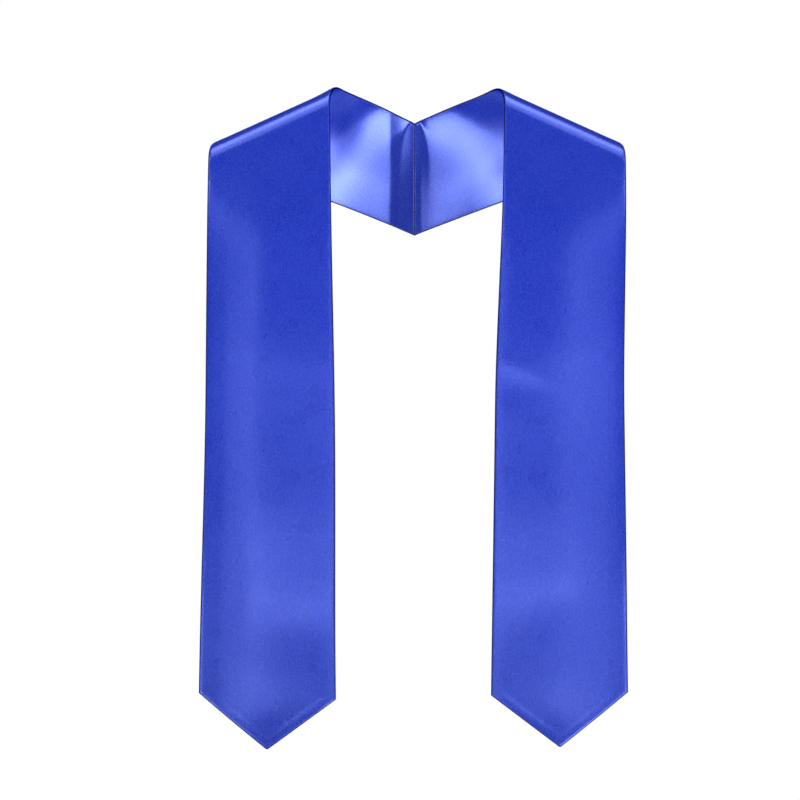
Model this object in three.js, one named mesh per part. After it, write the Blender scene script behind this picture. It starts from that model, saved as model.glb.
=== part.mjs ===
import * as THREE from "three";

// A V-neck graduation stole of royal blue satin, in the shape that it takes on its wearer's shoulders.
// Millimetres. The wearer faces -Y, and +Z is up. Left and right are as someone who faces the wearer sees.
// The origin is on the wearer's midline, level with the two peaks of the neck edge.
//
// Each half of the stole is a face and a backing, cut alike and sewn together round their edges. A half is
// described flat, as its paper pattern, and is then bent over the chest, the shoulder and the back without
// being stretched. The other half is its mirror image, apart from how the two front ends hang.
// "Along" is measured up the strip from where it meets the shoulder, and is negative down the front.
// "Across" is measured from the middle of the strip towards its neck edge.

// The paper pattern of one half.
const CUT = {
  hemWidth: 143, // at the corners of the pointed end
  shoulderWidth: 128, // where the strip meets the shoulder
  neckWidth: 111, // at the seam behind the neck
  hangLength: 594, // from the shoulder line down to the corners of the pointed end
  pointDepth: 55, // from those corners down to the point
  neckLength: 251, // from the shoulder line over to the seam behind the neck, before the seam is trimmed
  neckCurve: 18.5, // how far the neck part of the strip is turned towards the neck edge, in degrees
  curveStart: 21, // where along the strip that curve starts
  curveLength: 108,
};

// The cloth, and the ridge that the turned seam allowance raises inside the edge.
const CLOTH = {
  layer: 1,
  layerGap: 0.3, // between face and backing
  seamGap: 0.3, // between the two halves at the seam behind the neck
  edgeRound: 2.2, // how far in from an edge the cloth reaches its full thickness
  edgeShare: 0.35, // the share of the thickness that is left at the edge itself
  allowance: 9, // how wide the seam allowance is
  allowanceFall: 3.5, // over what width its ridge falls away
  allowanceRise: 0.45,
};

// How the strip meets the shoulder. The shoulder line runs across the strip at the top of its front.
const WORN = {
  halfSpread: 155.5, // from the midline to the middle of the strip
  lineBack: 0.5, // how far the shoulder line lies behind the origin
  lineDrop: 48.5, // how far its middle lies below the origin
  lean: 20, // how far the cloth leans back there, in degrees
  climb: 26.6, // how steeply the bend lines over the shoulder climb towards the neck edge, in degrees
  seamShift: -2, // how far the seam behind the neck sits off the midline
};

// The bends over the shoulder, up to its crest and then down behind it. climb is the climb of the bend
// line where a bend ends.
const SHOULDER_BENDS = [
  { radius: 26.5, turn: 70, climb: WORN.climb },
  { radius: 19, turn: 49.5, climb: 24 },
];

// The bends below the shoulder line. from and to are shares of hangLength, and turn is in degrees.
// A positive turn leans the cloth further back as it goes up.
const FRONT_BENDS = [
  { from: -0.97, to: -0.66, turn: 2.5 },
  { from: -0.62, to: -0.44, turn: -2.5 },
  { from: -0.42, to: -0.22, turn: 10 },
  { from: -0.22, to: -0.085, turn: 10 },
];

// The bends behind the shoulder. share is the part of the way from there to the seam that a bend takes up.
const NECK_BENDS = [
  { share: 0.5, turn: 14.5, climb: 13 },
  { share: 0.5, turn: 21, climb: -46 },
];

// How each front end hangs. The sways carry its middle and its hem towards the neck edge, tilt lowers the
// hem's corner on that side against the other, and extra is cloth that hangs lower than hangLength says.
const HANGS = {
  left: { mirror: 1, middleSway: 2, hemSway: -0.5, tilt: 6, extra: 0 },
  right: { mirror: -1, middleSway: 7, hemSway: 7.5, tilt: 2.5, extra: -2.5 },
};

// The soft dents and swells of each half, each a smooth bump. along is a share of hangLength below the
// shoulder line or of neckLength above it, across a share of the half width, length and width its reach in
// shares of hemWidth, turned by skew degrees, and rise its height in millimetres.
const SWELLS = {
  left: [
    { along: -0.16, across: -0.1, length: 0.8, width: 0.3, skew: 0, rise: 1.6 },
    { along: -0.34, across: 0.45, length: 0.9, width: 0.22, skew: 4, rise: -1.2 },
    { along: -0.62, across: -0.35, length: 0.8, width: 0.35, skew: -12, rise: 1.5 },
    { along: -0.86, across: 0.3, length: 0.35, width: 0.5, skew: 30, rise: -1.4 },
    { along: 0.62, across: 0.05, length: 0.22, width: 0.9, skew: 0, rise: 1.8 },
    { along: 0.82, across: 0, length: 0.14, width: 1.2, skew: -34, rise: -1.4 },
  ],
  right: [
    { along: -0.2, across: -0.25, length: 0.8, width: 0.3, skew: 0, rise: 1.5 },
    { along: -0.4, across: 0.55, length: 0.1, width: 0.45, skew: 8, rise: 1.3 },
    { along: -0.46, across: 0.6, length: 0.2, width: 0.2, skew: -20, rise: -1.3 },
    { along: -0.7, across: -0.1, length: 0.6, width: 0.4, skew: 15, rise: 1.4 },
    { along: -0.88, across: 0, length: 0.25, width: 0.5, skew: 35, rise: -1.3 },
    { along: 0.6, across: 0.1, length: 0.26, width: 0.9, skew: 0, rise: 1.6 },
    { along: 0.84, across: 0, length: 0.12, width: 1.2, skew: -34, rise: -1.5 },
  ],
};

// How finely the cloth is divided.
const MESH = {
  bendStep: 2, // along the strip, where the bends are worked out
  acrossParts: 6, // between the two seam allowances
  hemRows: 4,
  frontRows: 17,
  crestRows: 7,
  behindRows: 5,
  neckRows: 11,
  hemBlend: 0.12, // the share of hangLength over which level rows turn into the pointed hem
  calm: 24, // how far from the seam behind the neck the dents and swells reach their full height
};

const SATIN = new THREE.MeshStandardMaterial({ color: 0x2b3fc4, roughness: 0.38, metalness: 0.2 });
const SATIN_BACKING = new THREE.MeshStandardMaterial({ color: 0x3346cf, roughness: 0.4, metalness: 0.2 });

const radians = THREE.MathUtils.degToRad;
const { clamp, lerp, smoothstep } = THREE.MathUtils;

// The pattern

function halfWidth(along) {
  const down = clamp(-along / CUT.hangLength, 0, 1);
  const up = clamp(along / CUT.neckLength, 0, 1);
  const width = lerp(lerp(CUT.shoulderWidth, CUT.hemWidth, down), CUT.neckWidth, up);
  return width / 2;
}

// Where a place of the strip lies on the flat table: u up the table and v across it. The strip runs straight
// up the table as far as the curve of its neck part.
function flatPlace(along, across) {
  const radius = CUT.curveLength / radians(CUT.neckCurve);
  const onCurve = clamp(along - CUT.curveStart, 0, CUT.curveLength);
  const beyond = Math.max(along - CUT.curveStart - CUT.curveLength, 0);
  const heading = onCurve / radius;
  const u = Math.min(along, CUT.curveStart) + radius * Math.sin(heading) + beyond * Math.cos(heading);
  const v = radius * (1 - Math.cos(heading)) + beyond * Math.sin(heading);
  return { u: u - across * Math.sin(heading), v: v + across * Math.cos(heading) };
}

// Bending

// Every bend as one list, in millimetres up the table. A bend line climbs evenly from the climb of one
// bend's end to that of the next one's.
function listBends() {
  const level = (bend) => ({
    from: bend.from * CUT.hangLength,
    to: bend.to * CUT.hangLength,
    turn: bend.turn,
    climbFrom: 0,
    climbTo: 0,
  });
  const bends = FRONT_BENDS.map(level);
  let end = { at: 0, climb: WORN.climb };
  const add = (length, turn, climb) => {
    bends.push({ from: end.at, to: end.at + length, turn, climbFrom: end.climb, climbTo: climb });
    end = { at: end.at + length, climb };
  };
  for (const { radius, turn, climb } of SHOULDER_BENDS)
    add((radius * radians(turn)) / Math.cos(radians(climb)), turn, climb);
  const rest = CUT.neckLength - end.at;
  for (const { share, turn, climb } of NECK_BENDS) add(share * rest, turn, climb);
  return bends;
}

const BENDS = listBends();
const [CREST, SHOULDER_END] = BENDS.slice(FRONT_BENDS.length).map((bend) => bend.to);

function climbAt(u) {
  let before = { at: -Infinity, climb: BENDS[0].climbFrom };
  for (const bend of BENDS) {
    for (const after of [
      { at: bend.from, climb: bend.climbFrom },
      { at: bend.to, climb: bend.climbTo },
    ]) {
      if (u < after.at) {
        const share = Number.isFinite(before.at) ? (u - before.at) / (after.at - before.at) : 0;
        return radians(lerp(before.climb, after.climb, share));
      }
      before = after;
    }
  }
  return radians(before.climb);
}

function turnPerLength(u) {
  const bend = BENDS.find(({ from, to }) => u >= from && u < to);
  return bend ? radians(bend.turn) / (bend.to - bend.from) : 0;
}

// Walks up or down the table's middle line from the shoulder line, and notes where the line is, where it
// heads and which way the cloth faces. The cloth turns about each bend line as the walk crosses it.
function walk(step, length) {
  const lean = radians(WORN.lean);
  const at = new THREE.Vector3(-WORN.halfSpread, WORN.lineBack, -WORN.lineDrop);
  const heading = new THREE.Vector3(0, Math.sin(lean), Math.cos(lean));
  const facing = new THREE.Vector3(0, -Math.cos(lean), Math.sin(lean));
  const frames = [];
  for (let u = 0; Math.abs(u) <= length; u += step) {
    const slope = Math.tan(climbAt(u));
    frames.push({ u, slope, at: at.clone(), heading: heading.clone(), facing: facing.clone() });
    const climb = climbAt(u + step / 2);
    const inward = heading.clone().cross(facing);
    const bendLine = inward.multiplyScalar(Math.cos(climb)).addScaledVector(heading, Math.sin(climb));
    const turn = -turnPerLength(u + step / 2) * step;
    heading.applyAxisAngle(bendLine, turn / 2);
    at.addScaledVector(heading, step);
    heading.applyAxisAngle(bendLine, turn / 2).normalize();
    facing.applyAxisAngle(bendLine, turn).normalize();
  }
  return frames;
}

const DOWN_REACH = CUT.hangLength + CUT.pointDepth + CUT.hemWidth;
const UP_REACH = 2 * CUT.neckLength;
const FRAMES = [
  ...walk(-MESH.bendStep, DOWN_REACH).reverse().slice(0, -1),
  ...walk(MESH.bendStep, UP_REACH),
];

// The bent place of a place on the table, and the way that the cloth faces there. Both come from the bend
// line that runs through the place, because cloth stays straight along its bend lines.
function bentPlace({ u, v }) {
  const crossing = (frame) => frame.u + v * frame.slope;
  let low = 0;
  let high = FRAMES.length - 1;
  while (high - low > 1) {
    const middle = (low + high) >> 1;
    if (crossing(FRAMES[middle]) < u) low = middle;
    else high = middle;
  }
  const [a, b] = [FRAMES[low], FRAMES[high]];
  const share = (u - crossing(a)) / (crossing(b) - crossing(a));
  const heading = a.heading.clone().lerp(b.heading, share);
  const facing = a.facing.clone().lerp(b.facing, share).normalize();
  const inward = heading.clone().cross(facing);
  const position = a.at.clone().lerp(b.at, share);
  position.addScaledVector(inward, v).addScaledVector(heading, v * lerp(a.slope, b.slope, share));
  return { position, facing };
}

// The rows and columns of the cloth

// Finds where a rising function of one number reaches a value.
function solve(rising, value, low, high) {
  for (let i = 0; i < 50; i++) {
    const middle = (low + high) / 2;
    if (rising(middle) < value) low = middle;
    else high = middle;
  }
  return (low + high) / 2;
}

// Columns are given as a distance in from the nearer edge, or as a share of the way between the allowances.
function columnPlaces() {
  const steps = [0, CLOTH.edgeRound, CLOTH.allowance, CLOTH.allowance + CLOTH.allowanceFall];
  const inner = steps.at(-1);
  const places = steps.map((inset) => (half) => half - inset);
  for (let i = 1; i < MESH.acrossParts; i++)
    places.push((half) => (half - inner) * (1 - (2 * i) / MESH.acrossParts));
  return [...places, ...steps.toReversed().map((inset) => (half) => inset - half)];
}

const COLUMNS = columnPlaces();

// Where along the strip a column crosses the bend line that starts at u on the table's middle line.
function alongAtLine(column, u) {
  const slope = Math.tan(climbAt(u));
  const offset = (along) => {
    const flat = flatPlace(along, column(halfWidth(along)));
    return flat.u - flat.v * slope;
  };
  return solve(offset, u, u - CUT.hemWidth, u + CUT.hemWidth);
}

function alongAtHem(column, hang) {
  const half = halfWidth(-CUT.hangLength);
  const across = column(half) / half;
  return -CUT.hangLength - hang.extra - (across * hang.tilt) / 2 - (1 - Math.abs(across)) * CUT.pointDepth;
}

// The seam behind the neck is trimmed where the cloth reaches the midline.
function alongAtSeam(column) {
  const sideways = (along) => bentPlace(flatPlace(along, column(halfWidth(along)))).position.x;
  return solve(sideways, -CLOTH.seamGap / 2, SHOULDER_END, UP_REACH - CUT.hemWidth);
}

// The rows follow bend lines, so that each facet lies on the bent cloth. Towards each end they turn
// evenly into the line of that end.
function rowsAlong(column, hang) {
  const blend = MESH.hemBlend * CUT.hangLength;
  const blendTop = alongAtLine(column, blend - CUT.hangLength);
  const hem = alongAtHem(column, hang);
  const seam = alongAtSeam(column);
  const rows = [hem, hem + CLOTH.edgeRound];
  for (let i = 1; i <= MESH.hemRows; i++) rows.push(lerp(rows[1], blendTop, i / MESH.hemRows));
  for (let i = 1; i <= MESH.frontRows; i++)
    rows.push(alongAtLine(column, lerp(blend - CUT.hangLength, 0, i / MESH.frontRows)));
  for (let i = 1; i <= MESH.crestRows; i++)
    rows.push(alongAtLine(column, lerp(0, CREST, i / MESH.crestRows)));
  for (let i = 1; i <= MESH.behindRows; i++)
    rows.push(alongAtLine(column, lerp(CREST, SHOULDER_END, i / MESH.behindRows)));
  const shoulderEnd = rows.at(-1);
  for (let i = 1; i < MESH.neckRows; i++) rows.push(lerp(shoulderEnd, seam, i / MESH.neckRows));
  return [...rows, seam - CLOTH.edgeRound, seam];
}

// Surface relief

function swellHeight(side, along, across) {
  const half = halfWidth(along);
  const run = along < 0 ? CUT.hangLength : CUT.neckLength;
  let height = 0;
  for (const swell of SWELLS[side]) {
    const skew = radians(swell.skew);
    const du = along - swell.along * run;
    const dv = across - swell.across * half;
    if (Math.sign(swell.along) !== Math.sign(along)) continue;
    const lengthwise = (du * Math.cos(skew) + dv * Math.sin(skew)) / (swell.length * CUT.hemWidth);
    const crosswise = (dv * Math.cos(skew) - du * Math.sin(skew)) / (swell.width * CUT.hemWidth);
    height += swell.rise * Math.exp(-lengthwise * lengthwise - crosswise * crosswise);
  }
  return height;
}

// The ridge over the seam allowance, and the rounding at the edge, for a place that far in from an edge.
function allowanceHeight(inset) {
  const fall = smoothstep(inset, CLOTH.allowance, CLOTH.allowance + CLOTH.allowanceFall);
  return CLOTH.allowanceRise * smoothstep(inset, 0, CLOTH.edgeRound) * (1 - fall);
}

function layerThickness(inset) {
  const round = clamp(inset / CLOTH.edgeRound, 0, 1);
  const rounded = Math.sqrt(1 - (1 - round) * (1 - round));
  return CLOTH.layer * lerp(CLOTH.edgeShare, 1, rounded);
}

function swayAt({ middleSway, hemSway }, down) {
  return middleSway * smoothstep(down, 0, 0.5) + (hemSway - middleSway) * smoothstep(down, 0.5, 1);
}

function seamShiftAt(x) {
  return WORN.seamShift * (1 - smoothstep(Math.abs(x), 0, WORN.halfSpread - CUT.shoulderWidth / 2));
}

// Every grid point of one half: its place, the way it faces, and how far in from the nearest edge it is.
function clothGrid(side) {
  const hang = HANGS[side];
  const columns = COLUMNS.map((column) => rowsAlong(column, hang).map((along) => ({ along, column })));
  return columns.map((points) => {
    const [hem, seam] = [points[0].along, points.at(-1).along];
    return points.map(({ along, column }) => {
      const half = halfWidth(along);
      const across = column(half);
      const { position, facing } = bentPlace(flatPlace(along, across));
      position.x += swayAt(hang, -along / CUT.hangLength) + seamShiftAt(position.x) * hang.mirror;
      const calmed = smoothstep(seam - along, 0, MESH.calm);
      position.addScaledVector(facing, calmed * swellHeight(side, along, across));
      // At the seam the layers end square to the midline.
      if (along === seam) facing.setX(0).normalize();
      return { position, facing, inset: Math.min(half - Math.abs(across), along - hem, seam - along) };
    });
  });
}

// Solids

// Closes two skins of grid points into one solid. outer lies on the side that the cloth faces.
function closedSheet(outer, inner, mirror) {
  const columns = outer.length;
  const rows = outer[0].length;
  const positions = [...outer.flat(), ...inner.flat()].flatMap((p) => [p.x * mirror, p.y, p.z]);
  const out = (column, row) => column * rows + row;
  const back = (column, row) => columns * rows + out(column, row);
  const index = [];
  const quad = (a, b, c, d) => index.push(...(mirror > 0 ? [a, b, c, a, c, d] : [a, c, b, a, d, c]));
  for (let i = 0; i + 1 < columns; i++)
    for (let j = 0; j + 1 < rows; j++) {
      quad(out(i, j), out(i, j + 1), out(i + 1, j + 1), out(i + 1, j));
      quad(back(i, j), back(i + 1, j), back(i + 1, j + 1), back(i, j + 1));
    }
  const rim = [];
  for (let j = 0; j < rows - 1; j++) rim.push([0, j]);
  for (let i = 0; i < columns - 1; i++) rim.push([i, rows - 1]);
  for (let j = rows - 1; j > 0; j--) rim.push([columns - 1, j]);
  for (let i = columns - 1; i > 0; i--) rim.push([i, 0]);
  rim.forEach((here, k) => {
    const next = rim[(k + 1) % rim.length];
    quad(out(...here), back(...here), back(...next), out(...next));
  });
  const geometry = new THREE.BufferGeometry();
  geometry.setAttribute("position", new THREE.Float32BufferAttribute(positions, 3));
  geometry.setIndex(index);
  geometry.computeVertexNormals();
  return geometry;
}

// The face lies on the outer side of the meeting line of the two layers, and the backing on the inner side.
function layerGeometry(grid, mirror, outward) {
  const offset = (amount) =>
    grid.map((points) => points.map((p) => p.position.clone().addScaledVector(p.facing, amount(p.inset))));
  const near = offset(() => (outward * CLOTH.layerGap) / 2);
  const ridge = (inset) => (outward > 0 ? allowanceHeight(inset) : 0);
  const far = offset((inset) => outward * (CLOTH.layerGap / 2 + layerThickness(inset)) + ridge(inset));
  return outward > 0 ? closedSheet(far, near, mirror) : closedSheet(near, far, mirror);
}

function half(side) {
  const group = new THREE.Group();
  const grid = clothGrid(side);
  const { mirror } = HANGS[side];
  const face = new THREE.Mesh(layerGeometry(grid, mirror, 1), SATIN);
  face.name = `${side}_face`;
  const backing = new THREE.Mesh(layerGeometry(grid, mirror, -1), SATIN_BACKING);
  backing.name = `${side}_backing`;
  return group.add(face, backing);
}

const stole = new THREE.Group();
stole.add(half("left"), half("right"));

export default stole;
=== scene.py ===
"""A royal blue satin graduation stole, in the shape that it takes on its wearer's shoulders."""

import math

import bpy
import numpy as np
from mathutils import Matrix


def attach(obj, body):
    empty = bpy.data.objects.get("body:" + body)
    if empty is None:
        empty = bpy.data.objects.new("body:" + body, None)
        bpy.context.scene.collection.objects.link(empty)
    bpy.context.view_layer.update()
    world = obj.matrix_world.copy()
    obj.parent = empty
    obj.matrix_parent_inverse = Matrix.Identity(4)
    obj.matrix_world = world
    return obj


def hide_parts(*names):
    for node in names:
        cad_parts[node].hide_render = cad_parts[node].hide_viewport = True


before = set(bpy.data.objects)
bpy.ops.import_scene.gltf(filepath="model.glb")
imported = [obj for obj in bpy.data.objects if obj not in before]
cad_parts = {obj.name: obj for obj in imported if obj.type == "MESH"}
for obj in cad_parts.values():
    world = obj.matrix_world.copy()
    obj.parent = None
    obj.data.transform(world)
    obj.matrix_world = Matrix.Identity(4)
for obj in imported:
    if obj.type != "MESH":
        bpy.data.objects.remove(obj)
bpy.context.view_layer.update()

bl_info = {
    "name": "Graduation stole",
    "version": (1, 0, 0),
    "blender": (4, 5, 0),
    "location": "View3D > Sidebar > Stole",
    "description": "Makes a lined satin graduation stole as it is worn, and its studio",
    "category": "Mesh",
}


# Sizes and colours

class StoleCut(bpy.types.PropertyGroup):
    """The paper pattern of one half of the stole"""

    hem_width: bpy.props.FloatProperty(
        name="Hem width", description="Width at the corners of the pointed end",
        default=0.143, unit="LENGTH")
    shoulder_width: bpy.props.FloatProperty(
        name="Shoulder width", description="Width where the strip meets the shoulder",
        default=0.128, unit="LENGTH")
    neck_width: bpy.props.FloatProperty(
        name="Neck width", description="Width at the seam behind the neck",
        default=0.111, unit="LENGTH")
    hang_length: bpy.props.FloatProperty(
        name="Hang length", description="From the shoulder line down to the hem's corners",
        default=0.594, unit="LENGTH")
    point_depth: bpy.props.FloatProperty(
        name="Point depth", description="From the hem's corners down to its point",
        default=0.055, unit="LENGTH")
    neck_length: bpy.props.FloatProperty(
        name="Neck length", description="From the shoulder line to the untrimmed neck seam",
        default=0.251, unit="LENGTH")
    neck_curve: bpy.props.FloatProperty(
        name="Neck curve", description="How far the neck part turns towards the neck edge",
        default=math.radians(18.5), subtype="ANGLE")
    curve_start: bpy.props.FloatProperty(
        name="Curve start", description="Where along the strip the neck curve starts",
        default=0.021, unit="LENGTH")
    curve_length: bpy.props.FloatProperty(
        name="Curve length", description="How long the neck curve is",
        default=0.108, unit="LENGTH")


class StoleCloth(bpy.types.PropertyGroup):
    """The thickness of the cloth and what its sewn edges raise"""

    layer: bpy.props.FloatProperty(
        name="Layer", description="Thickness of one layer",
        default=0.001, unit="LENGTH")
    layer_gap: bpy.props.FloatProperty(
        name="Layer gap", description="Gap between face and backing",
        default=0.0003, unit="LENGTH")
    seam_gap: bpy.props.FloatProperty(
        name="Seam gap", description="Gap between the halves behind the neck",
        default=0.00002, unit="LENGTH")
    edge_round: bpy.props.FloatProperty(
        name="Edge round", description="How far in the turned edge reaches its thickness",
        default=0.0022, unit="LENGTH")
    seam_round: bpy.props.FloatProperty(
        name="Seam round", description="The same at the neck seam",
        default=0.0012, unit="LENGTH")
    edge_share: bpy.props.FloatProperty(
        name="Edge share", description="Share of the thickness at the edge itself",
        default=0.35, subtype="FACTOR")
    allowance: bpy.props.FloatProperty(
        name="Allowance", description="Width of the seam allowance inside the edge",
        default=0.009, unit="LENGTH")
    allowance_fall: bpy.props.FloatProperty(
        name="Allowance fall", description="Width over which its ridge falls away",
        default=0.006, unit="LENGTH")
    allowance_rise: bpy.props.FloatProperty(
        name="Allowance rise", description="Height of its ridge",
        default=0.00016, unit="LENGTH")
    turned_back: bpy.props.FloatProperty(
        name="Turned back", description="How far the pressed edges turn back",
        default=0.0004, unit="LENGTH")
    turned_width: bpy.props.FloatProperty(
        name="Turned width", description="How far in they do so",
        default=0.004, unit="LENGTH")
    stitch_length: bpy.props.FloatProperty(
        name="Stitch length", description="Length of the stitches in the neck seam",
        default=0.0022, unit="LENGTH")
    stitch_step: bpy.props.FloatProperty(
        name="Stitch step", description="Distance between those stitches",
        default=0.0026, unit="LENGTH")
    stitch_slant: bpy.props.FloatProperty(
        name="Stitch slant", description="How far they slant",
        default=math.radians(22), subtype="ANGLE")
    thread_width: bpy.props.FloatProperty(
        name="Thread width", description="Thickness of the sewing thread",
        default=0.00034, unit="LENGTH")
    pucker: bpy.props.FloatProperty(
        name="Pucker", description="Height of the puckers along the neck seam",
        default=0.00008, unit="LENGTH")
    pucker_step: bpy.props.FloatProperty(
        name="Pucker step", description="Distance between those puckers",
        default=0.0042, unit="LENGTH")
    pucker_reach: bpy.props.FloatProperty(
        name="Pucker reach", description="How far from the seam they fade out",
        default=0.006, unit="LENGTH")
    calm: bpy.props.FloatProperty(
        name="Calm width", description="How far from the neck seam the dents reach full height",
        default=0.024, unit="LENGTH")


class StoleWorn(bpy.types.PropertyGroup):
    """How a half meets the wearer's shoulder"""

    half_spread: bpy.props.FloatProperty(
        name="Half spread", description="From the midline to the middle of the strip",
        default=0.1555, unit="LENGTH")
    line_back: bpy.props.FloatProperty(
        name="Line back", description="How far the shoulder line lies behind the origin",
        default=0.0005, unit="LENGTH")
    line_drop: bpy.props.FloatProperty(
        name="Line drop", description="How far its middle lies below the origin",
        default=0.0485, unit="LENGTH")
    lean: bpy.props.FloatProperty(
        name="Lean", description="How far the cloth leans back at the shoulder line",
        default=math.radians(20), subtype="ANGLE")
    climb: bpy.props.FloatProperty(
        name="Climb", description="How steeply the shoulder's bend lines climb to the neck",
        default=math.radians(26.6), subtype="ANGLE")
    seam_shift: bpy.props.FloatProperty(
        name="Seam shift", description="How far the neck seam sits off the midline",
        default=-0.002, unit="LENGTH")


class StoleColours(bpy.types.PropertyGroup):
    """The satin and its thread"""

    satin: bpy.props.FloatVectorProperty(
        name="Satin", description="The satin's colour",
        default=(0.001, 0.02, 0.7), size=3, subtype="COLOR")
    satin_pale: bpy.props.FloatVectorProperty(
        name="Pale satin", description="The satin's paler threads",
        default=(0.028, 0.085, 0.89), size=3, subtype="COLOR")
    # Painted shade: a dark colour laid along every edge of the satin, for the dark outline that the edges
    # show.
    edge: bpy.props.FloatVectorProperty(
        name="Edge", description="The satin where it is pressed into a hard edge",
        default=(0.001, 0.006, 0.16), size=3, subtype="COLOR")
    thread: bpy.props.FloatVectorProperty(
        name="Thread", description="The sewing thread",
        default=(0.05, 0.085, 0.6), size=3, subtype="COLOR")
    floor: bpy.props.FloatVectorProperty(
        name="Floor", description="The studio floor",
        default=(0.85, 0.85, 0.84), size=3, subtype="COLOR")


class StoleStage(bpy.types.PropertyGroup):
    """The camera and the studio"""

    camera_distance: bpy.props.FloatProperty(
        name="Camera distance", description="From the camera to the shoulders",
        default=3.231, unit="LENGTH")
    camera_height: bpy.props.FloatProperty(
        name="Camera height", description="The camera's height against the origin",
        default=-0.328, unit="LENGTH")
    camera_side: bpy.props.FloatProperty(
        name="Camera side", description="How far the camera stands to the side",
        default=-0.018, unit="LENGTH")
    field: bpy.props.FloatProperty(
        name="Field", description="Width of the view at the shoulders",
        default=0.8444, unit="LENGTH")
    floor_height: bpy.props.FloatProperty(
        name="Floor height", description="The floor's height against the origin",
        default=-1.75, unit="LENGTH")


# The bends over the shoulder, up to its crest and then down behind it. climb is at the bend's end.
SHOULDER_BENDS = (
    {"radius": 0.0265, "turn": 70, "climb": 26.6},
    {"radius": 0.019, "turn": 49.5, "climb": 24},
)

# The bends below the shoulder line. start and end are shares of the hang length.
FRONT_BENDS = (
    {"start": -0.97, "end": -0.66, "turn": 2.5},
    {"start": -0.62, "end": -0.44, "turn": -2.5},
    {"start": -0.42, "end": -0.22, "turn": 10},
    {"start": -0.22, "end": -0.085, "turn": 10},
)

# The bends behind the shoulder. share is the part of the way to the neck seam that each takes up.
NECK_BENDS = (
    {"share": 0.5, "turn": 14.5, "climb": 13},
    {"share": 0.5, "turn": 21, "climb": -46},
)

# How each half hangs. The sways carry its middle and its hem towards the neck edge, tilt lowers the hem's
# corner on that side, and extra is cloth that hangs lower than the hang length says.
HANGS = {
    "left": {"mirror": 1, "middle_sway": 0.002, "hem_sway": -0.0005, "tilt": 0.006, "extra": 0},
    "right": {"mirror": -1, "middle_sway": 0.007, "hem_sway": 0.0075, "tilt": 0.0025, "extra": -0.0025},
}

# Soft dents and swells. along is a share of the hang length or the neck length, across a share of the half
# width, length and width their reach in shares of the hem width, skew in degrees and rise in millimetres.
SWELLS = {
    "left": (
        {"along": -0.16, "across": -0.1, "length": 0.8, "width": 0.3, "skew": 0, "rise": 1.6},
        {"along": -0.34, "across": 0.45, "length": 0.9, "width": 0.22, "skew": 4, "rise": -1.2},
        {"along": -0.62, "across": -0.35, "length": 0.8, "width": 0.35, "skew": -12, "rise": 1.5},
        {"along": -0.86, "across": 0.5, "length": 0.34, "width": 0.45, "skew": -8, "rise": 1.6},
        {"along": -1.04, "across": -0.6, "length": 0.3, "width": 0.45, "skew": 0, "rise": 3},
        {"along": 0.62, "across": 0.05, "length": 0.22, "width": 0.9, "skew": 0, "rise": 1.8},
    ),
    "right": (
        {"along": -0.2, "across": -0.25, "length": 0.8, "width": 0.3, "skew": 0, "rise": 1.5},
        {"along": -0.42, "across": 0.75, "length": 0.07, "width": 0.4, "skew": -22, "rise": 0.25},
        {"along": -0.46, "across": 0.75, "length": 0.14, "width": 0.25, "skew": -10, "rise": -0.4},
        {"along": -0.7, "across": -0.1, "length": 0.6, "width": 0.4, "skew": 15, "rise": 1.4},
        {"along": -0.82, "across": 0, "length": 0.3, "width": 0.6, "skew": 20, "rise": 1.4},
        {"along": -1.05, "across": -0.35, "length": 0.25, "width": 0.4, "skew": 0, "rise": 1.8},
        {"along": 0.6, "across": 0.1, "length": 0.26, "width": 0.9, "skew": 0, "rise": 1.6},
    ),
}

# How the hanging cloth turns across its width: the turn towards the neck edge in degrees, at a share of the
# half width. The outer edge rolls back round the chest.
FRONT_TURNS = {
    "left": ((-1, -17), (-0.8, -16), (-0.65, -11), (-0.35, -9), (-0.1, -3), (0.2, 0), (0.7, 1),
             (0.85, 6), (1, 8)),
    "right": ((-1, -17), (-0.88, -15), (-0.7, -10), (-0.3, -8), (0, -4), (0.3, 1), (0.7, 1),
              (0.85, 8), (1, 10)),
}

# How the cloth turns beside the neck seam. Each row is the distance from the seam in millimetres, then the
# turn towards the wearer's other side in degrees, at the neck edge and at the lower edge.
SEAM_TURNS = {
    "left": ((0, 9, 9), (0.9, 5, 5), (1.8, 0, 2), (6, -4, 1), (11, -6, 1), (16, -9, 0), (22, -14, 0),
             (25, -14, 0), (29, -3, 5), (50, -4, 2), (80, 0, 0), (100, 0, 0)),
    "right": ((0, 2, 2), (0.6, 0, 0), (4.5, 0, 0), (7, 5, 8), (12, 3, 8), (25, -2, 7), (40, -2, 3),
              (60, -2, -1), (80, -1, -2), (100, 0, 0)),
}

# Rolls that lie along the bend lines: their mark up the middle line in millimetres, reach and rise.
ROLLS = (
    {"mark": 4, "reach": 16, "rise": 0.5},
)

MILLIMETRE = 0.001

# The fine grid: the step of the walk along a strip, the columns' spacing, and the rows' spacing down the
# front, over the shoulder and behind the neck, all in metres. Over the last share of the hang length the rows
# turn into the line of the hem, and there are a few more of them.
BEND_STEP = 0.0005
COLUMN_STEP = 0.0022
ROW_STEP = 0.0026
SHOULDER_ROW_STEP = 0.001
NECK_ROW_STEP = 0.002
HEM_BLEND = 0.12
HEM_EXTRA_ROWS = 12

# Where the grid's lines lie in a turned edge, as shares of the edge round, and how many cross the ridge.
EDGE_LINES = (0, 0.12, 0.3, 0.6, 1)
RIDGE_LINES = 8

# How far from the shoulder the front's turns, the dents and the neck seam's turns reach full height, in
# metres.
FRONT_FADE = 0.16
SWELL_FADE = 0.06
NECK_FADE = 0.08

# The shares of the half width between which the turns at the lower edge become those at the neck edge.
LOWER_SHARE = -0.4
UPPER_SHARE = 1

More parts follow.
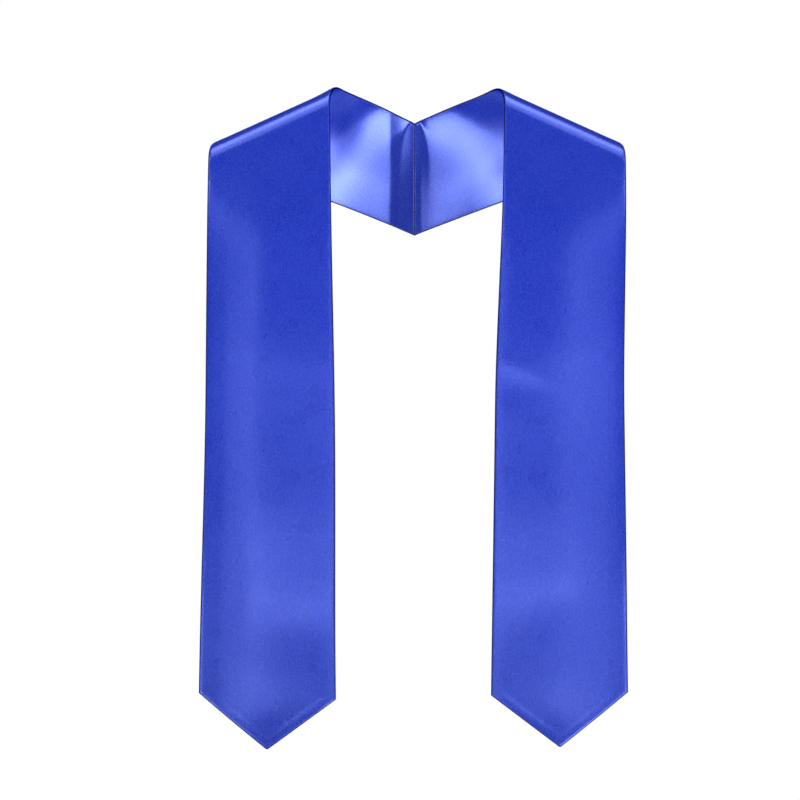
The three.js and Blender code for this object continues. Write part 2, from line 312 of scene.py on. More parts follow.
# The puckers drift a little instead of keeping step: by how many radians, and how fast. Then how far in from
# the seam they start.
PUCKER_DRIFT = 2.2
PUCKER_DRIFT_RATE = 310
PUCKER_START = 0.001

# How finely places are searched for and turns are added up.
HALVINGS = 40
TURN_STEPS = 2000

# A stitch: its rings and sides, its fullness in the middle and what it loses towards its ends, and how it
# arches over the seam and dips in.
STITCH_RINGS = 7
STITCH_SIDES = 6
STITCH_FULLNESS = 1.05
STITCH_TAPER = 0.6
STITCH_LIFT = 0.5
STITCH_DIP = 1.2

# Between which distances from an edge the painted shade along the pressed edges fades out, in metres, and the
# dull, dark look that this painted shade gives there.
PAINTED_EDGE_SHADE_START = 0.00045
PAINTED_EDGE_SHADE_END = 0.0018
EDGE_ROUGHNESS = 0.8
EDGE_METAL = 1

# The weave's patterns are drawn out along the strip, where distances count for only this share.
THREAD_SHARE = 0.1
STREAK_SHARE = 0.07
GRAIN_SHARE = 0.7

# Between which values of its patterns the weave goes from dark to pale and from glossy to dull.
TONE_RANGE = (0.44, 0.56)
MOTTLE_RANGE = (0.3, 0.7)

# How high the weave and the strands of the sewing thread stand, in metres.
WEAVE_HEIGHT = 0.0001
STRAND_HEIGHT = 0.00004

# The satin's shine. It is broad across the long threads and narrow along them.
SATIN_METAL = 0.25
FACE_ROUGHNESS = 0.28
BACKING_ROUGHNESS = 0.19
ROUGHNESS_SWING = 0.02
SATIN_SHADER = {
    "IOR": 1.9,
    "Specular IOR Level": 1,
    "Specular Tint": (0.55, 0.68, 1, 1),
    "Anisotropic": 0.55,
    "Anisotropic Rotation": 0.25,
    "Sheen Weight": 0.04,
    "Sheen Roughness": 0.4,
    "Sheen Tint": (0.3, 0.4, 1, 1),
}

# The studio's soft lights: name, place, what it points at, size, spread of its grid in degrees, and power.
LIGHTS = (
    ("front top softbox", (0, -0.72, 2.08), (0, 0, -0.05), (2.4, 0.85), 180, 7),
    ("top softbox", (0, 0.18, 2.2), (0, 0, -0.05), (2.4, 1.0), 180, 20),
    ("left strip softbox", (-1.06, -2.6, 0.1), (0, 0, 0.1), (0.45, 2.3), 180, 4.4),
    ("right strip softbox", (1.06, -2.6, 0.1), (0, 0, 0.1), (0.45, 2.3), 180, 4.2),
    ("low front softbox", (0, -2.65, -0.58), (0, 0, -0.55), (1.9, 0.2), 180, 3.1),
    ("left side softbox", (-2.3, -1.3, -1), (0, 0, -0.5), (0.8, 0.9), 180, 7),
    ("right side softbox", (2.3, -1.3, -1), (0, 0, -0.5), (0.8, 0.9), 180, 7),
    ("left high softbox", (-2.2, -1.3, 1.5), (0, 0, -0.3), (1.2, 1.2), 180, 20),
    ("right high softbox", (2.2, -1.3, 1.5), (0, 0, -0.3), (1.2, 1.2), 180, 18),
    ("left neck softbox", (-0.64, -0.86, -0.83), (0, 0.1, 0.1), (0.93, 0.55), 60, 0.72),
    ("right neck softbox", (0.68, -0.8, -0.82), (0, 0.1, 0.1), (0.95, 0.9), 60, 1.5),
    ("back softbox", (0, 2.4, -1.1), (0, 0, -0.4), (2.4, 0.8), 180, 9),
)


# The pattern

def smooth(value, low, high):
    """A smooth rise from 0 at low to 1 at high."""
    share = np.clip((value - low) / (high - low), 0, 1)
    return share * share * (3 - 2 * share)


class Strip:
    """One half of the stole: its flat pattern, and how the cloth bends as it is worn."""

    def __init__(self, side):
        scene = bpy.context.scene
        self.side, self.hang = side, HANGS[side]
        self.cut, self.cloth, self.worn = scene.stole_cut, scene.stole_cloth, scene.stole_worn
        self.list_bends()
        reach = self.cut.hang_length + self.cut.point_depth + self.cut.hem_width
        down, up = self.walk(-BEND_STEP, reach), self.walk(BEND_STEP, 2 * self.cut.neck_length)
        self.marks, self.places, self.headings, self.facings = (
            np.concatenate([low[:0:-1], high]) for low, high in zip(down, up))
        self.slopes = np.tan(self.climb_at(self.marks))

    def list_bends(self):
        """Every bend as its start, end and turn, and the climb at each of their ends."""
        hang = self.cut.hang_length
        bends = [(row["start"] * hang, row["end"] * hang, row["turn"]) for row in FRONT_BENDS]
        ends = [(place, 0.0) for start, end, _ in bends for place in (start, end)]
        at = 0.0
        ends.append((at, self.worn.climb))
        for row in SHOULDER_BENDS:
            climb = math.radians(row["climb"])
            length = row["radius"] * math.radians(row["turn"]) / math.cos(climb)
            bends.append((at, at + length, row["turn"]))
            at += length
            ends.append((at, climb))
        self.crest, self.shoulder_end = bends[-2][1], at
        rest = self.cut.neck_length - at
        for row in NECK_BENDS:
            bends.append((at, at + row["share"] * rest, row["turn"]))
            at += row["share"] * rest
            ends.append((at, math.radians(row["climb"])))
        self.bends, self.climb_ends = bends, np.array(ends).T

    def climb_at(self, mark):
        """How steeply the bend line there climbs towards the neck edge."""
        return np.interp(mark, *self.climb_ends)

    def turn_at(self, mark):
        """How fast the cloth turns there, in radians a metre."""
        for start, end, turn in self.bends:
            if start <= mark < end:
                return math.radians(turn) / (end - start)
        return 0.0

    def walk(self, step, length):
        """Follows the strip's straight middle line up or down from the shoulder line, bend by bend."""
        lean = self.worn.lean
        place = np.array([-self.worn.half_spread, self.worn.line_back, -self.worn.line_drop])
        heading = np.array([0, math.sin(lean), math.cos(lean)])
        facing = np.array([0, -math.cos(lean), math.sin(lean)])
        notes = []
        for i in range(int(length / abs(step)) + 1):
            notes.append((i * step, place, heading, facing))
            middle = (i + 0.5) * step
            climb = self.climb_at(middle)
            line = np.cross(heading, facing) * math.cos(climb) + heading * math.sin(climb)
            angle = -self.turn_at(middle) * step
            heading = turned(heading, line, angle / 2)
            place = place + heading * step
            heading = turned(heading, line, angle / 2)
            facing = turned(facing, line, angle)
        return tuple(np.array(column) for column in zip(*notes))

    def half_width(self, along):
        """Half of the strip's width."""
        down = np.clip(-along / self.cut.hang_length, 0, 1)
        up = np.clip(along / self.cut.neck_length, 0, 1)
        width = self.cut.shoulder_width + (self.cut.hem_width - self.cut.shoulder_width) * down
        return (width + (self.cut.neck_width - width) * up) / 2

    def flat_place(self, along, across):
        """Where a place of the strip lies on the flat table: up it and across it."""
        cut = self.cut
        radius = cut.curve_length / cut.neck_curve
        on_curve = np.clip(along - cut.curve_start, 0, cut.curve_length)
        beyond = np.maximum(along - cut.curve_start - cut.curve_length, 0)
        heading = on_curve / radius
        up = np.minimum(along, cut.curve_start) + radius * np.sin(heading) + beyond * np.cos(heading)
        over = radius * (1 - np.cos(heading)) + beyond * np.sin(heading)
        return up - across * np.sin(heading), over + across * np.cos(heading)

    def bent_place(self, up, over):
        """The worn place of a place on the table, the way that it faces, and its bend line's mark."""
        low, high = np.zeros(up.shape, int), np.full(up.shape, len(self.marks) - 1)
        while np.max(high - low) > 1:
            middle = (low + high) // 2
            below = self.marks[middle] + over * self.slopes[middle] < up
            low, high = np.where(below, middle, low), np.where(below, high, middle)
        near = self.marks[low] + over * self.slopes[low]
        far = self.marks[high] + over * self.slopes[high]
        share = ((up - near) / (far - near))[..., None]

        def between(table):
            return table[low] * (1 - share) + table[high] * share

        heading, facing = between(self.headings), between(self.facings)
        facing = facing / np.linalg.norm(facing, axis=-1, keepdims=True)
        slope = between(self.slopes[:, None])
        over = over[..., None]
        place = between(self.places) + np.cross(heading, facing) * over + heading * over * slope
        return place, facing, between(self.marks[:, None])[..., 0]


def turned(vector, axis, angle):
    """A vector turned about an axis of length one."""
    along = axis * np.dot(axis, vector) * (1 - math.cos(angle))
    return vector * math.cos(angle) + np.cross(axis, vector) * math.sin(angle) + along


def solve(rising, value, low, high):
    """Where a rising function of an array reaches a value."""
    for _ in range(HALVINGS):
        middle = (low + high) / 2
        below = rising(middle) < value
        low, high = np.where(below, middle, low), np.where(below, high, middle)
    return (low + high) / 2


# The fine grid of the cloth

def steps_in(cloth):
    """How far in from an edge the grid's first lines lie."""
    ridge = np.linspace(cloth.edge_round, cloth.allowance + cloth.allowance_fall, RIDGE_LINES)[1:]
    return np.concatenate([np.array(EDGE_LINES) * cloth.edge_round, ridge])


def column_places(strip):
    """The grid's columns, as functions of the half width."""
    insets = steps_in(strip.cloth)
    inner = insets[-1]
    count = int(strip.cut.shoulder_width / COLUMN_STEP)
    shares = np.linspace(1, -1, count)[1:-1]
    return ([lambda half, inset=inset: half - inset for inset in insets]
            + [lambda half, share=share: (half - inner) * share for share in shares]
            + [lambda half, inset=inset: inset - half for inset in insets[::-1]])


def along_at_line(strip, column, mark):
    """Where a column crosses the bend lines that start at those marks."""
    slope = np.tan(strip.climb_at(mark))

    def offset(along):
        up, over = strip.flat_place(along, column(strip.half_width(along)))
        return up - over * slope

    return solve(offset, mark, mark - strip.cut.hem_width, mark + strip.cut.hem_width)


def along_at_hem(strip, column):
    """Where a column meets the pointed hem."""
    half = strip.half_width(-strip.cut.hang_length)
    across = column(half) / half
    hang = strip.hang
    return (-strip.cut.hang_length - hang["extra"] - across * hang["tilt"] / 2
            - (1 - abs(across)) * strip.cut.point_depth)


def along_at_seam(strip, column):
    """Where a column meets the seam behind the neck, which lies on the midline."""
    def sideways(along):
        return strip.bent_place(*strip.flat_place(along, column(strip.half_width(along))))[0][..., 0]

    low = np.array([strip.shoulder_end])
    high = np.array([2 * strip.cut.neck_length - strip.cut.hem_width])
    return float(solve(sideways, -strip.cloth.seam_gap / 2, low, high)[0])


def divided(low, high, step):
    """Even places from low to high, without low itself."""
    return np.linspace(low, high, max(2, math.ceil((high - low) / step)) + 1)[1:]


def rows_along(strip, column):
    """Where a column crosses every row. Rows follow the bend lines, and turn into the line of each end."""
    cut, ends = strip.cut, steps_in(strip.cloth)
    blend = HEM_BLEND * cut.hang_length - cut.hang_length
    blend_top = float(along_at_line(strip, column, np.array([blend]))[0])
    hem, seam = along_at_hem(strip, column), along_at_seam(strip, column)
    front = divided(blend, 0, ROW_STEP)
    crest = divided(0, strip.crest, SHOULDER_ROW_STEP)
    behind = divided(strip.crest, strip.shoulder_end, SHOULDER_ROW_STEP)
    lines = along_at_line(strip, column, np.concatenate([front, crest, behind]))
    hem_rows = np.linspace(0, 1, round(HEM_BLEND * cut.hang_length / ROW_STEP) + HEM_EXTRA_ROWS)[1:]
    neck_rows = np.linspace(0, 1, round((cut.neck_length - strip.shoulder_end) / NECK_ROW_STEP))[1:-1]
    from_hem = hem + ends
    to_seam = seam - ends[::-1]
    return np.concatenate([
        from_hem, from_hem[-1] + (blend_top - from_hem[-1]) * hem_rows, lines,
        lines[-1] + (to_seam[0] - lines[-1]) * neck_rows, to_seam])


# Relief

def swell_height(strip, along, across, mark):
    """The height of the soft dents and swells, which leave the shoulder smooth."""
    cut = strip.cut
    half = strip.half_width(along)
    height = np.zeros(along.shape)
    for row in SWELLS[strip.side]:
        run = cut.hang_length if row["along"] < 0 else cut.neck_length
        skew = math.radians(row["skew"])
        up, over = along - row["along"] * run, across - row["across"] * half
        lengthwise = (up * math.cos(skew) + over * math.sin(skew)) / (row["length"] * cut.hem_width)
        crosswise = (over * math.cos(skew) - up * math.sin(skew)) / (row["width"] * cut.hem_width)
        bump = row["rise"] * MILLIMETRE * np.exp(-lengthwise ** 2 - crosswise ** 2)
        beyond = -mark if row["along"] < 0 else mark - strip.shoulder_end
        height += bump * smooth(beyond, 0, SWELL_FADE)
    return height


def allowance_height(cloth, inset):
    """The ridge that the seam allowance raises, at a distance in from the edge."""
    fall = smooth(inset, cloth.allowance, cloth.allowance + cloth.allowance_fall)
    return cloth.allowance_rise * smooth(inset, 0, cloth.edge_round) * (1 - fall)


def layer_thickness(cloth, inset):
    """The thickness of a layer, rounded off towards its edge."""
    share = np.clip(inset / cloth.edge_round, 0, 1)
    return cloth.layer * (cloth.edge_share + (1 - cloth.edge_share) * np.sqrt(1 - (1 - share) ** 2))


def turned_height(rows, distance, unit):
    """The height that turns build up. Each row is a distance, in that unit, and the turn there in degrees."""
    marks = np.array([row[0] for row in rows]) * unit
    slopes = np.tan(np.radians([row[1] for row in rows]))
    fine = np.linspace(marks[0], marks[-1], TURN_STEPS)
    slope = np.interp(fine, marks, slopes)
    height = np.concatenate([[0], np.cumsum((slope[1:] + slope[:-1]) / 2 * np.diff(fine))])
    return np.interp(distance, fine, height)


def front_height(strip, across, half):
    """The height of the hanging cloth's turns, against its middle line."""
    rows = FRONT_TURNS[strip.side]
    return (turned_height(rows, 0, 1) - turned_height(rows, across / half, 1)) * half


def seam_height(strip, across, half, sideways):
    """The height of the turns beside the neck seam."""
    aside = abs(sideways) - strip.cloth.seam_gap / 2
    rows = SEAM_TURNS[strip.side]
    upper = turned_height([(distance, turn) for distance, turn, _ in rows], aside, MILLIMETRE)
    lower = turned_height([(distance, turn) for distance, _, turn in rows], aside, MILLIMETRE)
    share = smooth(across / half, LOWER_SHARE, UPPER_SHARE)
    return -(share * upper + (1 - share) * lower)


def pucker_height(strip, across, seam_inset):
    """The height of the small puckers along the neck seam."""
    cloth = strip.cloth
    phase = across / cloth.pucker_step * 2 * math.pi + strip.hang["mirror"]
    wave = np.sin(phase + PUCKER_DRIFT * np.sin(across * PUCKER_DRIFT_RATE))
    fade = np.exp(-(seam_inset / cloth.pucker_reach) ** 2)
    return cloth.pucker * wave * smooth(seam_inset, 0, PUCKER_START) * fade


def relief(strip, along, across, half, mark, sideways, side_inset, seam_inset):
    """How far the cloth stands out from its plain bent shape."""
    cloth = strip.cloth
    height = smooth(seam_inset, 0, cloth.calm) * swell_height(strip, along, across, mark)
    height += smooth(-mark, 0, FRONT_FADE) * front_height(strip, across, half)
    neck = smooth(along, strip.shoulder_end, strip.shoulder_end + NECK_FADE)
    height += neck * seam_height(strip, across, half, sideways)
    for row in ROLLS:
        away = (mark / MILLIMETRE - row["mark"]) / row["reach"]
        height += row["rise"] * MILLIMETRE * np.exp(-away ** 2)
    height += pucker_height(strip, across, seam_inset)
    height -= cloth.turned_back * (1 - np.clip(side_inset / cloth.turned_width, 0, 1)) ** 2
    return height


def cloth_grid(strip):
    """Every grid point of one half: place, facing, distance in from the edge, and flat place."""
    columns = column_places(strip)
    along = np.array([rows_along(strip, column) for column in columns])
    half = strip.half_width(along)
    across = np.array([column(strip.half_width(row)) for column, row in zip(columns, along)])
    flat = strip.flat_place(along, across)
    place, facing, mark = strip.bent_place(*flat)
    hem, seam, cloth = along[:, :1], along[:, -1:], strip.cloth
    side_inset = np.minimum(half - abs(across), along - hem)
    inset = np.minimum(side_inset, (seam - along) * cloth.edge_round / cloth.seam_round)
    height = relief(strip, along, across, half, mark, place[..., 0], side_inset, seam - along)
    hang = strip.hang
    down = -along / strip.cut.hang_length
    sway = (hang["middle_sway"] * smooth(down, 0, 0.5)
            + (hang["hem_sway"] - hang["middle_sway"]) * smooth(down, 0.5, 1))
    reach = strip.worn.half_spread - strip.cut.shoulder_width / 2
    shift = strip.worn.seam_shift * hang["mirror"]
    place[..., 0] += sway + shift * (1 - smooth(abs(place[..., 0]), 0, reach))
    place += facing * height[..., None]
    facing[:, -1, 0] = 0
    facing /= np.linalg.norm(facing, axis=-1, keepdims=True)
    return place, facing, inset, np.stack(flat, axis=-1)


# Meshes

def closed_cloth(name, outer, inner, flat, inset, mirror):
    """One closed piece of cloth from its two skins, with its flat place as its UV map."""
    columns, rows = outer.shape[:2]
    points = np.concatenate([outer.reshape(-1, 3), inner.reshape(-1, 3)]) * (mirror, 1, 1)
    number = np.arange(columns * rows).reshape(columns, rows)
    a, b, c, d = number[:-1, :-1], number[:-1, 1:], number[1:, 1:], number[1:, :-1]
    front = np.stack([a, b, c, d], -1).reshape(-1, 4)
    back = np.stack([a, d, c, b], -1).reshape(-1, 4) + columns * rows
    rim = np.concatenate([number[0, :-1], number[:-1, -1], number[-1, :0:-1], number[:0:-1, 0]])
    following = np.roll(rim, -1)
    sides = np.stack([rim, rim + columns * rows, following + columns * rows, following], -1)
    faces = np.concatenate([front, back, sides])
    if mirror < 0:
        faces = faces[:, ::-1]
    mesh = bpy.data.meshes.new(name)
    mesh.from_pydata(points, [], faces)
    spread = np.concatenate([flat.reshape(-1, 2)] * 2)
    corners = np.empty(len(mesh.loops), np.int32)
    mesh.loops.foreach_get("vertex_index", corners)
    uv = mesh.uv_layers.new(name="flat")
    uv.data.foreach_set("uv", spread[corners].astype(np.float32).ravel())
    edge = mesh.attributes.new("inset", "FLOAT", "POINT")
    edge.data.foreach_set("value", np.concatenate([inset.ravel()] * 2).astype(np.float32))
    mesh.polygons.foreach_set("use_smooth", np.ones(len(mesh.polygons), bool))
    mesh.update()
    piece = bpy.data.objects.new(name, mesh)
    bpy.context.collection.objects.link(piece)
    return piece


def flat_size(flat):
    """The width, length and area of a flat piece."""
    outline = np.concatenate([flat[0, :-1], flat[:-1, -1], flat[-1, :0:-1], flat[:0:-1, 0]])
    following = np.roll(outline, -1, axis=0)
    area = abs(np.sum(outline[:, 0] * following[:, 1] - outline[:, 1] * following[:, 0])) / 2
    length, width = np.ptp(outline, axis=0)
    return (float(width), float(length)), float(area)


def make_layer(side, part, outward):
    """The face or the backing of one half."""
    strip = Strip(side)
    place, facing, inset, flat = cloth_grid(strip)
    cloth = strip.cloth
    near = place + facing * outward * cloth.layer_gap / 2
    ridge = allowance_height(cloth, inset) if outward > 0 else 0
    reach = outward * (cloth.layer_gap / 2 + layer_thickness(cloth, inset)) + ridge
    far = place + facing * reach[..., None]
    skins = (far, near) if outward > 0 else (near, far)
    piece = closed_cloth(f"{side}_satin_{part}", *skins, flat, inset, strip.hang["mirror"])
    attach(piece, "root")
    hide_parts(f"{side}_{part}")
    return piece, flat_size(flat)


def stitch_points(cloth):
    """One stitch: a thread that dips into the cloth at both ends, as rings of points."""
    place = np.linspace(-1, 1, STITCH_RINGS)[:, None]
    angle = np.linspace(0, 2 * math.pi, STITCH_SIDES + 1)[None, :-1]
    thick = cloth.thread_width / 2 * np.sqrt(STITCH_FULLNESS - place ** 2 * STITCH_TAPER)
    side = place * cloth.stitch_length / 2 + 0 * angle
    lift = cloth.thread_width * (STITCH_LIFT - STITCH_DIP * place ** 2) + thick * np.sin(angle)
    return np.stack([side, lift, thick * np.cos(angle)], -1).reshape(-1, 3)


def stitch_faces():
    """The faces of one stitch: its sides and its two ends."""
    number = np.arange(STITCH_RINGS * STITCH_SIDES).reshape(STITCH_RINGS, STITCH_SIDES)
    sides = [[number[i, j], number[i, (j + 1) % STITCH_SIDES],
              number[i + 1, (j + 1) % STITCH_SIDES], number[i + 1, j]]
             for i in range(STITCH_RINGS - 1) for j in range(STITCH_SIDES)]
    return sides + [list(number[0, ::-1]), list(number[-1])]


def make_stitches():
    """The small stitches that close the lining's seam behind the neck."""
    strip = Strip("left")
    cloth = strip.cloth
    place, facing, _, _ = cloth_grid(strip)
    seam = place[:, -1] - facing[:, -1] * (cloth.layer_gap / 2 + layer_thickness(cloth, 0))
    run = np.concatenate([[0], np.cumsum(np.linalg.norm(np.diff(seam, axis=0), axis=1))])

    def on_seam(mark):
        return np.array([np.interp(mark, run, column) for column in seam.T])

    stitch, pattern = stitch_points(cloth), stitch_faces()
    points, faces = [], []
    for mark in np.arange(cloth.stitch_step, run[-1] - cloth.stitch_step / 2, cloth.stitch_step):
        middle = on_seam(mark)
        down = on_seam(mark + MILLIMETRE) - middle
        down /= np.linalg.norm(down)
        out = np.array([0, -down[2], down[1]])
        out *= -np.sign(out[1])
        way = np.array([math.cos(cloth.stitch_slant), 0, 0]) + down * math.sin(cloth.stitch_slant)
        axes = np.stack([way, out, np.cross(way, out)])
        faces += [[corner + len(points) * len(stitch) for corner in face] for face in pattern]
        points.append((0, *middle[1:]) + stitch @ axes)
    mesh = bpy.data.meshes.new("neck_seam_stitches")
    mesh.from_pydata(np.concatenate(points), [], faces)
    mesh.update()
    mesh.polygons.foreach_set("use_smooth", np.ones(len(mesh.polygons), bool))
    piece = bpy.data.objects.new("neck_seam_stitches", mesh)
    bpy.context.collection.objects.link(piece)
    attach(piece, "root")
    return piece


# Materials

def new_group(name, inputs, outputs):
    """An empty shader node group with float inputs and outputs, its given values and its results."""
    group = bpy.data.node_groups.new(name, "ShaderNodeTree")
    for label, default in inputs:
        socket = group.interface.new_socket(label, in_out="INPUT", socket_type="NodeSocketFloat")
        socket.default_value = default
    for label in outputs:
        group.interface.new_socket(label, in_out="OUTPUT", socket_type="NodeSocketFloat")
    return group, group.nodes.new("NodeGroupInput").outputs, group.nodes.new("NodeGroupOutput").inputs


def add_node(tree, kind, **values):
    """A node with its properties and its unlinked inputs set."""
    node = tree.nodes.new(kind)
    for key, value in values.items():
        if hasattr(node, key):
            setattr(node, key, value)
        else:
            node.inputs[key.replace("_", " ")].default_value = value
    return node


def noise(tree, vector, scale, detail=2):
    """A noise texture on those coordinates, as its factor."""
    texture = add_node(tree, "ShaderNodeTexNoise", Detail=detail, Roughness=0.6)
    tree.links.new(vector, texture.inputs["Vector"])
    tree.links.new(scale, texture.inputs["Scale"])
    return texture.outputs["Fac"]


def stretched(tree, vector, share):
    """Flat coordinates on which a pattern is drawn out along the strip."""
    node = add_node(tree, "ShaderNodeVectorMath", operation="MULTIPLY")
    node.inputs[1].default_value = (share, 1, 1)
    tree.links.new(vector, node.inputs[0])
    return node.outputs[0]


def mixed(tree, share, first, second, kind="FLOAT"):
    """A blend of two values or colours. Each part is a number, a colour or what another node gives."""
    node = add_node(tree, "ShaderNodeMix", data_type=kind)
    low, high, result = {"FLOAT": (2, 3, 0), "RGBA": (6, 7, 2)}[kind]
    for place, part in ((0, share), (low, first), (high, second)):
        if isinstance(part, bpy.types.NodeSocket):
            tree.links.new(part, node.inputs[place])
        else:
            node.inputs[place].default_value = part
    return node.outputs[result]


def ranged(tree, value, low, high, to_low=0, to_high=1):
    """A value carried from one range to another, and kept within it."""
    node = add_node(
        tree, "ShaderNodeMapRange", From_Min=low, From_Max=high, To_Min=to_low, To_Max=to_high)
    tree.links.new(value, node.inputs["Value"])
    return node.outputs["Result"]


def bumped(tree, height, strength, distance):
    """A surface direction that follows fine heights."""
    node = add_node(tree, "ShaderNodeBump", Strength=strength, Distance=distance)
    tree.links.new(height, node.inputs["Height"])
    return node.outputs["Normal"]


def satin_weave():
    """The long floating threads of satin, the streaks and grain that they make, and broad mottling."""
    group, given, result = new_group(
        "Satin weave",
        [("Thread scale", 3200), ("Streak scale", 800), ("Grain scale", 640), ("Mottle scale", 32)],
        ["Tone", "Mottle", "Height"])
    flat = add_node(group, "ShaderNodeUVMap", uv_map="flat").outputs["UV"]
    threads = noise(group, stretched(group, flat, THREAD_SHARE), given["Thread scale"], 1)
    streaks = noise(group, stretched(group, flat, STREAK_SHARE), given["Streak scale"])
    grain = noise(group, stretched(group, flat, GRAIN_SHARE), given["Grain scale"])
    coarse = mixed(group, 0.75, streaks, grain)
    group.links.new(mixed(group, 0.25, coarse, threads), result["Tone"])
    group.links.new(noise(group, flat, given["Mottle scale"]), result["Mottle"])
    group.links.new(mixed(group, 0.2, coarse, threads), result["Height"])
    return group


def satin(name, weave, roughness):
    """Satin in the stole's colour, with its threads along the strip, and with painted shade that darkens it
    along its pressed edges.
    """
    colours = bpy.context.scene.stole_colours
    material = bpy.data.materials.new(name)
    material.use_nodes = True
    tree = material.node_tree
    shader = tree.nodes["Principled BSDF"]
    for label, value in SATIN_SHADER.items():
        shader.inputs[label].default_value = value
    threads = add_node(tree, "ShaderNodeGroup", node_tree=weave).outputs
    inset = add_node(tree, "ShaderNodeAttribute", attribute_name="inset").outputs["Fac"]
    # Painted shade: towards every edge the satin turns to the dark edge colour, fading out between these
    # distances in from the edge.
    inside = ranged(tree, inset, PAINTED_EDGE_SHADE_START, PAINTED_EDGE_SHADE_END)
    pale = ranged(tree, threads["Tone"], *TONE_RANGE)
    tone = mixed(tree, pale, (*colours.satin, 1), (*colours.satin_pale, 1), "RGBA")
    swing = (roughness - ROUGHNESS_SWING, roughness + ROUGHNESS_SWING)
    gloss = ranged(tree, threads["Mottle"], *MOTTLE_RANGE, *swing)
    direction = add_node(tree, "ShaderNodeTangent", direction_type="UV_MAP", uv_map="flat")
    # Near the edges the base colour, metal and roughness take the dark look of the painted shade.
    for label, value in (
            ("Base Color", mixed(tree, inside, (*colours.edge, 1), tone, "RGBA")),
            ("Metallic", mixed(tree, inside, EDGE_METAL, SATIN_METAL)),
            ("Roughness", mixed(tree, inside, EDGE_ROUGHNESS, gloss)),
            ("Normal", bumped(tree, threads["Height"], 1, WEAVE_HEIGHT)),
            ("Tangent", direction.outputs["Tangent"])):
        tree.links.new(value, shader.inputs[label])
    return material


def thread():
    """The sewing thread, twisted from finer strands."""
    colour = bpy.context.scene.stole_colours.thread
    material = bpy.data.materials.new("Sewing thread")
    material.use_nodes = True
    tree = material.node_tree
    shader = tree.nodes["Principled BSDF"]
    shader.inputs["Roughness"].default_value = 0.45
    shader.inputs["Sheen Weight"].default_value = 0.2
    where = add_node(tree, "ShaderNodeTexCoord")
    strands = add_node(tree, "ShaderNodeTexNoise", Scale=6000)
    tree.links.new(where.outputs["Object"], strands.inputs["Vector"])
    dark = (*(0.6 * part for part in colour), 1)
    tone = mixed(tree, strands.outputs["Fac"], dark, (*colour, 1), "RGBA")
    tree.links.new(tone, shader.inputs["Base Color"])
    tree.links.new(bumped(tree, strands.outputs["Fac"], 0.6, STRAND_HEIGHT), shader.inputs["Normal"])
    return material


# Studio

def make_floor(scene):
    """The pale floor."""
    bpy.ops.mesh.primitive_plane_add(size=4, location=(0, 0, scene.stole_stage.floor_height))
    floor = bpy.context.object
    floor.name = "floor"
    paint = bpy.data.materials.new("Floor paint")
    paint.use_nodes = True
    shader = paint.node_tree.nodes["Principled BSDF"]
    shader.inputs["Base Color"].default_value = (*scene.stole_colours.floor, 1)
    shader.inputs["Roughness"].default_value = 0.8
    floor.data.materials.append(paint)


def make_lights():
    """The soft lights, each turned to what it points at."""
    for name, place, aim, size, spread, power in LIGHTS:
        lamp = bpy.data.lights.new(name, "AREA")
        lamp.shape = "RECTANGLE"
        lamp.size, lamp.size_y = size
        lamp.spread = math.radians(spread)
        lamp.energy = power
        holder = bpy.data.objects.new(name, lamp)
        bpy.context.collection.objects.link(holder)
        holder.location = place
        holder.rotation_mode = "QUATERNION"
        holder.visible_camera = False
        away = holder.location - type(holder.location)(aim)
        holder.rotation_quaternion = away.to_track_quat("Z", "Y")


def make_room(scene):
    """The white backdrop, which gives the cloth hardly any light."""
    world = bpy.data.worlds.new("Studio")
    scene.world = world
    world.use_nodes = True
    tree = world.node_tree
    backdrop = add_node(tree, "ShaderNodeBackground", Color=(1, 1, 1, 1))
    room = tree.nodes["Background"]
    room.inputs["Color"].default_value = (0.9, 0.93, 1, 1)
    room.inputs["Strength"].default_value = 0.06
    path = add_node(tree, "ShaderNodeLightPath")
    mix = add_node(tree, "ShaderNodeMixShader")
    tree.links.new(path.outputs["Is Camera Ray"], mix.inputs["Fac"])
    tree.links.new(room.outputs["Background"], mix.inputs[1])
    tree.links.new(backdrop.outputs["Background"], mix.inputs[2])
    tree.links.new(mix.outputs["Shader"], tree.nodes["World Output"].inputs["Surface"])


def make_camera(scene):
    """The camera, level and straight in front."""
    stage = scene.stole_stage
    lens = bpy.data.cameras.new("camera")
    lens.sensor_width = 36
    lens.lens = lens.sensor_width * stage.camera_distance / stage.field
    camera = bpy.data.objects.new("camera", lens)
    bpy.context.collection.objects.link(camera)
    camera.location = (stage.camera_side, -stage.camera_distance, stage.camera_height)
    camera.rotation_euler = (math.pi / 2, 0, 0)
    scene.camera = camera
    scene.view_settings.view_transform = "Standard"


# Operators

class STOLE_OT_faces(bpy.types.Operator):
    """Makes the outer satin of both halves"""

    bl_idname = "stole.faces"
    bl_label = "Faces"

    def execute(self, context):
        material = satin("Face satin", bpy.data.node_groups["Satin weave"], FACE_ROUGHNESS)
        for side in HANGS:
            piece, (flat, area) = make_layer(side, "face", 1)
            piece.data.materials.append(material)
        return {"FINISHED"}


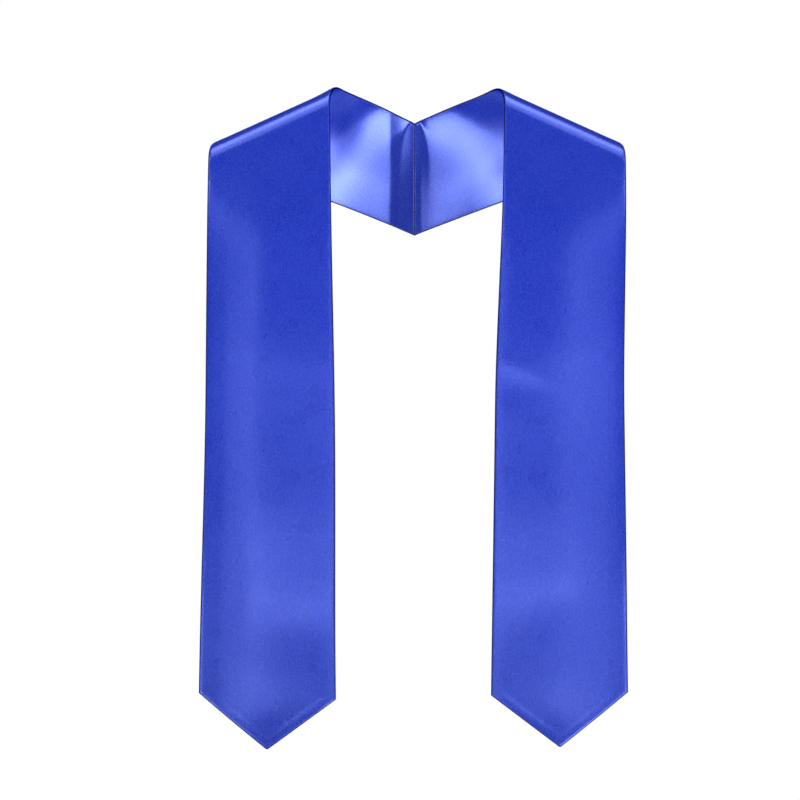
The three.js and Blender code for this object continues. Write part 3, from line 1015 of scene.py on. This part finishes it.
class STOLE_OT_backings(bpy.types.Operator):
    """Makes the satin that lines both halves"""

    bl_idname = "stole.backings"
    bl_label = "Backings"

    def execute(self, context):
        material = satin("Backing satin", satin_weave(), BACKING_ROUGHNESS)
        for side in HANGS:
            piece, (flat, area) = make_layer(side, "backing", -1)
            piece.data.materials.append(material)
        return {"FINISHED"}


class STOLE_OT_stitches(bpy.types.Operator):
    """Makes the stitches of the neck seam"""

    bl_idname = "stole.stitches"
    bl_label = "Stitches"

    def execute(self, context):
        make_stitches().data.materials.append(thread())
        return {"FINISHED"}


class STOLE_OT_stage(bpy.types.Operator):
    """Makes the floor, the lights and the camera"""

    bl_idname = "stole.stage"
    bl_label = "Stage"

    def execute(self, context):
        make_floor(context.scene)
        make_lights()
        make_room(context.scene)
        make_camera(context.scene)
        return {"FINISHED"}


class STOLE_PT_panel(bpy.types.Panel):
    """Lists the stole's pieces and sizes"""

    bl_idname = "STOLE_PT_panel"
    bl_label = "Graduation stole"
    bl_space_type = "VIEW_3D"
    bl_region_type = "UI"
    bl_category = "Stole"

    def draw(self, context):
        for operator in OPERATORS:
            self.layout.operator(operator.bl_idname)
        for name in GROUPS:
            box = self.layout.box()
            settings = getattr(context.scene, name)
            for key in settings.bl_rna.properties.keys():
                if key not in ("rna_type", "name"):
                    box.prop(settings, key)


GROUPS = {
    "stole_cut": StoleCut,
    "stole_cloth": StoleCloth,
    "stole_worn": StoleWorn,
    "stole_colours": StoleColours,
    "stole_stage": StoleStage,
}
OPERATORS = (STOLE_OT_backings, STOLE_OT_faces, STOLE_OT_stitches, STOLE_OT_stage)


def register():
    """Registers the settings, the operators and the panel."""
    for kind in (*GROUPS.values(), *OPERATORS, STOLE_PT_panel):
        bpy.utils.register_class(kind)
    for name, kind in GROUPS.items():
        setattr(bpy.types.Scene, name, bpy.props.PointerProperty(type=kind))


def unregister():
    """Takes them away again."""
    for name in GROUPS:
        delattr(bpy.types.Scene, name)
    for kind in (STOLE_PT_panel, *reversed(OPERATORS), *reversed(GROUPS.values())):
        bpy.utils.unregister_class(kind)


def main():
    """Makes the stole and its studio."""
    register()
    for operator in OPERATORS:
        section, name = operator.bl_idname.split(".")
        getattr(getattr(bpy.ops, section), name)()


if __name__ == "__main__":
    main()
